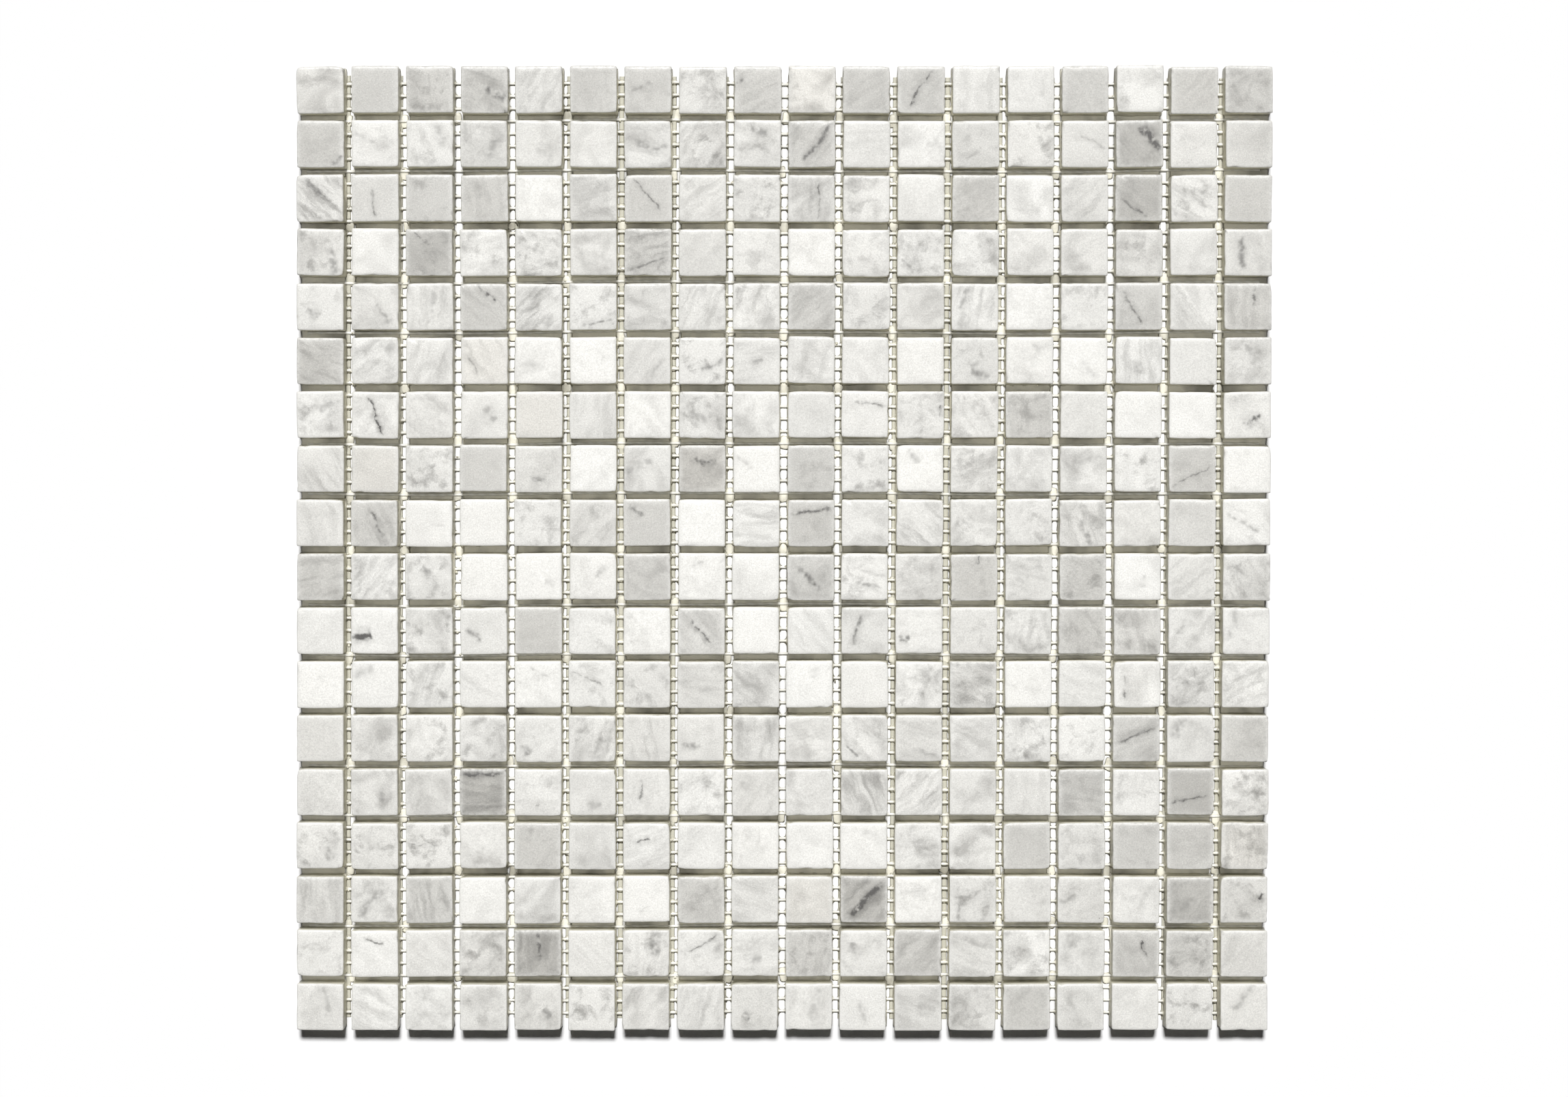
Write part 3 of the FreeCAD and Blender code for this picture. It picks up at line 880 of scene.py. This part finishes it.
def flat_yarn_finish():
    """Glass-fibre tape wetted with resin: satin, with fine filaments along Y, and pale grey:
    partly its own wetted tone and partly painted shade for the sheen it lacks under the key.

    Real filaments are far too fine to show; they are drawn 0.3 mm wide and 10 mm long.
    """
    material, tree, shader, here = new_material("glass_fibre_tape_resin_wetted")
    stretched = add(tree, "ShaderNodeVectorMath", {
        0: here, 1: (1.0, 0.03, 1.0),
    }, operation="MULTIPLY")
    filaments = add(tree, "ShaderNodeTexNoise", {
        "Vector": stretched, "Scale": per(0.3), "Detail": 3.0, "Roughness": 0.6,
    })
    # Partly painted shade: the tape is greyer than the raised yarn, for its wetted tone and also
    # for the sheen it lacks under the key
    shade = add(tree, "ShaderNodeMix", {
        "Factor": filaments, UNDER: colour("#B4B1A1"), OVER: colour("#DAD8CA"),
    }, data_type="RGBA")
    bump = add(tree, "ShaderNodeBump", {
        "Height": filaments, "Strength": 0.5, "Distance": 0.05 * MM,
    })
    feed(shader, {"Base Color": shade, "Roughness": 0.4, "Normal": bump})
    return material


def raised_yarn_finish():
    """Twisted glass-fibre yarn: bright white, with the twist showing as slanting ridges.

    The twist is drawn coarser than the real one, 3 mm from ridge to ridge, so that it shows.
    """
    material, tree, shader, here = new_material("glass_fibre_yarn_twisted")
    twist = add(tree, "ShaderNodeTexWave", {
        "Vector": here, "Scale": per(5.0), "Distortion": 1.5, "Detail": 2.0,
    }, bands_direction="DIAGONAL")
    shade = add(tree, "ShaderNodeMix", {
        "Factor": twist, UNDER: colour("#E9E7DE"), OVER: colour("#F8F7F2"),
    }, data_type="RGBA")
    bump = add(tree, "ShaderNodeBump", {"Height": twist, "Strength": 0.4, "Distance": 0.05 * MM})
    feed(shader, {"Base Color": shade, "Roughness": 0.45, "Normal": bump})
    return material


def glue_finish():
    """Dried cream-white glue: glossy where it pooled, bubbly where it was smeared.

    It is darker in broad patches.
    """
    material, tree, shader, here = new_material("cream_glue_dried")
    film = add(tree, "ShaderNodeTexNoise", {
        "Vector": here, "Scale": per(2.4), "Detail": 4.0, "Roughness": 0.6,
    })
    shade = add(tree, "ShaderNodeMix", {
        "Factor": film, UNDER: colour("#EBE7D6"), OVER: colour("#FAF7EA"),
    }, data_type="RGBA")
    # Broad patches about 16 mm across, where the glue is darker
    darker_patch_noise = add(tree, "ShaderNodeTexNoise", {
        "Vector": here, "Scale": per(16.0), "Detail": 3.0, "Roughness": 0.6,
    })
    darker_patch_amount = add(tree, "ShaderNodeMapRange", {
        "Value": darker_patch_noise, "From Min": 0.46, "From Max": 0.68, "To Max": 0.9,
    })
    darker_in_patches = add(tree, "ShaderNodeMix", {
        "Factor": darker_patch_amount, UNDER: shade, OVER: colour("#9A9687"),
    }, data_type="RGBA")
    gloss = add(tree, "ShaderNodeMapRange", {"Value": film, "To Min": 0.35, "To Max": 0.6})
    bubbles = add(tree, "ShaderNodeTexVoronoi", {
        "Vector": here, "Scale": per(0.6),
    }, feature="SMOOTH_F1")
    bump = add(tree, "ShaderNodeBump", {
        "Height": bubbles, "Strength": 0.35, "Distance": 0.15 * MM,
    })
    feed(shader, {"Base Color": darker_in_patches, "Roughness": gloss, "Normal": bump})
    return material


# The tiles
rng = np.random.default_rng(18)
stone_finish = marble()
blank = tile_blank()
worn_copies = worn_copies_tree()
for row, node in enumerate(ROW_NODES):
    piece = grow(
        f"stones_row_{row + 1:02d}", worn_copies, stone_points(row, rng),
        blank=blank, material=stone_finish, waviness=0.07 * MM, wave_length=5 * MM,
        corner_loss=0.65 * MM, chip_depth=0.3 * MM,
    )
    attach(piece, "root")
    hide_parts(node)
bpy.data.objects.remove(blank)

# The scrim
laid_yarns = yarns_tree()
flat_yarns = grow(
    "flat_yarns", laid_yarns, bpy.data.meshes.new("flat_yarn_start"),
    count=FLAT_YARNS, pitch=FLAT_YARN_PITCH, length=flat_high.y - flat_low.y,
    width=RESIN_ON_FLAT_YARN * FLAT_YARN_WIDTH, thickness=flat_high.z - flat_low.z,
    middle=(MIDDLE_FLAT_YARN, (flat_low.y + flat_high.y) / 2, (flat_low.z + flat_high.z) / 2),
    turn=(0.0, 0.0, math.pi / 2 - RACK),
    wander=0.10 * MM, steps=60, seed=3.0, material=flat_yarn_finish(),
)
raised_yarns = grow(
    "raised_yarns", laid_yarns, bpy.data.meshes.new("raised_yarn_start"),
    count=RAISED_YARNS, pitch=RAISED_YARN_PITCH, length=raised_high.x - raised_low.x,
    width=RESIN_ON_RAISED_YARN * RAISED_YARN_WIDTH, thickness=raised_high.z - raised_low.z,
    middle=(raised_low + raised_high) / 2, turn=(0.0, 0.0, 0.0),
    wander=0.15 * MM, steps=80, seed=7.0, material=raised_yarn_finish(),
)
sway(raised_yarns)
for piece, node, slot in (
    (flat_yarns, "scrim_flat_yarns", "scrim_flat_yarn"),
    (raised_yarns, "scrim_raised_yarns", "scrim_raised_yarn"),
):
    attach(piece, "root")
    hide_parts(node)

# Where the glue sits: under the tiles and between the rows
bed_places = [(x, y, TILE_FOOT) for y in ROWS for x in COLUMNS]
film_places = [(x, y, 0.0) for y in BETWEEN_ROWS for x in COLUMNS]

# Where a raised yarn runs under a row: at the crossings, and at the tiles' inner sides
on_rows = [y for y in RAISED_YARN_Y if min(abs(y - row_y) for row_y in ROWS) < HALF_SIDE]
web_places = [(x, y, raised_low.z) for x in FLAT_YARN_X for y in on_rows]
side_places, side_turns = [], []
for y in on_rows:
    for x in COLUMNS:
        for sign, turn in ((1, 0.0), (-1, math.pi)):
            if row_low.x + MM < x + sign * HALF_SIDE < row_high.x - MM:
                side_places.append((x + sign * HALF_SIDE, y, TILE_FOOT))
                side_turns.append(turn)

# Where four tiles' corners meet, apart from three in ten of these places
SHARE_WITHOUT_PATCH = 0.3
patch_places = []
for y in BETWEEN_ROWS:
    for x in BETWEEN_COLUMNS:
        slip = rng.normal(0.0, 0.4 * MM, 2)
        if rng.random() >= SHARE_WITHOUT_PATCH:
            patch_places.append((x + slip[0], y + slip[1], 0.0))

# Crumbs on the raised yarns in the joints between columns, most of them at the left
CRUMBS_IN_JOINT = [46] * 3 + [22] * 3 + [8] * 11
lump_places = []
for x, crumbs in zip(BETWEEN_COLUMNS, CRUMBS_IN_JOINT):
    for n in range(crumbs):
        y = rng.choice(RAISED_YARN_Y) + rng.normal(0.0, 0.4 * MM)
        side = rng.choice((-1.0, 1.0)) * rng.uniform(0.3, 1.1) * MM
        height = raised_high.z - rng.uniform(0.0, 0.3) * MM
        lump_places.append((x + side, y, height))
lump_turns = rng.uniform(0.0, 3.0, len(lump_places))
patch_turns = rng.normal(0.0, 0.12, len(patch_places))
bed_turns = [0.0] * len(bed_places)
film_turns = [0.0] * len(film_places)
web_turns = [0.0] * len(web_places)

# The glue: blank, places, turns, range of sizes, waviness and its length in mm
glue = glue_finish()
for name, blank, places, turns, sizes, waviness, wave_length in (
    ("glue_beds", glue_bed_blank(), bed_places, bed_turns, (0.985, 1.01), 0.3, 3.0),
    ("glue_films", glue_film_blank(), film_places, film_turns, (0.97, 1.01), 0.2, 2.0),
    ("glue_patches", glue_patch_blank(), patch_places, patch_turns, (0.75, 1.1), 0.3, 3.0),
    ("glue_webs", glue_web_blank(), web_places, web_turns, (0.85, 1.15), 0.18, 1.5),
    ("glue_up_the_sides", glue_side_blank(), side_places, side_turns, (0.6, 1.25), 0.2, 1.4),
    ("glue_lumps", glue_lump_blank(), lump_places, lump_turns, (0.25, 0.6), 0.25, 0.9),
):
    piece = grow(
        name, worn_copies, glue_points(f"{name}_start", places, turns, sizes, rng),
        blank=blank, material=glue, waviness=waviness * MM, wave_length=wave_length * MM,
    )
    bpy.data.objects.remove(blank)
    if name in ("glue_webs", "glue_up_the_sides", "glue_lumps"):
        sway(piece)
    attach(piece, "root")


# Floor, light and camera

# The light on a level surface of the sheet adds up to 1: a share comes from the lamp overhead,
# one from the even fill, one from the white background that the honed faces mirror, and the
# rest from the key. The floor goes without the overhead's and the mirrored share, so its white
# is more than 1
OVERHEAD = 0.13
FILL = 0.02
MIRRORED = 0.045
KEY = 1.0 - FILL - OVERHEAD - MIRRORED
WHITE = 1.0 / (1.0 - OVERHEAD - MIRRORED)


def background_is_seen(tree):
    """One where the camera, a reflection or a look through glass meets the background."""
    path = add(tree, "ShaderNodeLightPath")
    seen = add(tree, "ShaderNodeMath", {
        0: path.outputs["Is Camera Ray"], 1: path.outputs["Is Glossy Ray"],
    }, operation="MAXIMUM")
    return add(tree, "ShaderNodeMath", {
        0: seen, 1: path.outputs["Is Transmission Ray"],
    }, operation="MAXIMUM")


def studio_floor():
    """A white floor: it looks as white as the photograph's, and throws less light back."""
    material, tree, shader, _ = new_material("studio_floor_white")
    shade = add(tree, "ShaderNodeMix", {
        "Factor": background_is_seen(tree),
        UNDER: colour("#7A7A7A"), OVER: (WHITE, WHITE, WHITE, 1.0),
    }, data_type="RGBA")
    feed(shader, {"Base Color": shade, "Roughness": 0.9, "Specular IOR Level": 0.0})
    form = bmesh.new()
    bmesh.ops.create_grid(form, x_segments=1, y_segments=1, size=3.0)
    mesh = bpy.data.meshes.new("studio_floor")
    form.to_mesh(mesh)
    form.free()
    mesh.materials.append(material)
    floor = bpy.data.objects.new("studio_floor", mesh)
    show(floor)
    return floor


def studio_lamp(name, elevation, share, angle):
    """A sun over the sheet or beyond its top edge, which gives a level surface its share."""
    height = math.radians(elevation)
    light = bpy.data.lights.new(name, "SUN")
    light.energy = share * math.pi / math.sin(height)
    light.angle = math.radians(angle)
    lamp = bpy.data.objects.new(name, light)
    towards = Vector((0.0, math.cos(height), math.sin(height)))
    lamp.rotation_euler = towards.to_track_quat("Z", "Y").to_euler()
    show(lamp)
    return lamp


def studio_light(floor):
    """A soft key from beyond the sheet's top edge, a weak lamp overhead and an even fill.

    The lamp overhead reaches down between the rows. It leaves out the floor, where the
    photograph's shadow is nearly black.
    """
    studio_lamp("key", elevation=60.5, share=KEY, angle=11.0)
    overhead = studio_lamp("overhead", elevation=90.0, share=OVERHEAD, angle=9.0)
    unlit = bpy.data.collections.new("not_lit_from_overhead")
    unlit.objects.link(floor)
    unlit.collection_objects[0].light_linking.link_state = "EXCLUDE"
    overhead.light_linking.receiver_collection = unlit
    world = bpy.data.worlds.new("studio")
    world.use_nodes = True
    tree = world.node_tree
    tree.nodes.clear()
    strength = add(tree, "ShaderNodeMapRange", {
        "Value": background_is_seen(tree), "To Min": FILL, "To Max": 1.0,
    })
    sky = add(tree, "ShaderNodeBackground", {"Color": (1.0, 1.0, 1.0, 1.0), "Strength": strength})
    add(tree, "ShaderNodeOutputWorld", {"Surface": sky})
    bpy.context.scene.world = world


def photograph_camera():
    """Straight above the sheet, leaning a little: the photograph's top is slightly nearer."""
    photo_width_px = 2296
    px_per_mm = 4.68
    distance = 1080 * MM
    lean = math.radians(1.43)
    target = Vector((0.2 * MM, 0.42 * MM, row_high.z))
    back = Vector((0.0, math.sin(lean), math.cos(lean)))
    data = bpy.data.cameras.new("camera")
    data.sensor_width = 36.0
    data.lens = data.sensor_width * distance / (photo_width_px / px_per_mm * MM)
    camera = bpy.data.objects.new("camera", data)
    camera.location = target + back * distance
    camera.rotation_euler = (-lean, 0.0, 0.0)
    show(camera)
    bpy.context.scene.camera = camera


studio_light(studio_floor())
photograph_camera()
bpy.context.scene.view_settings.view_transform = "Standard"
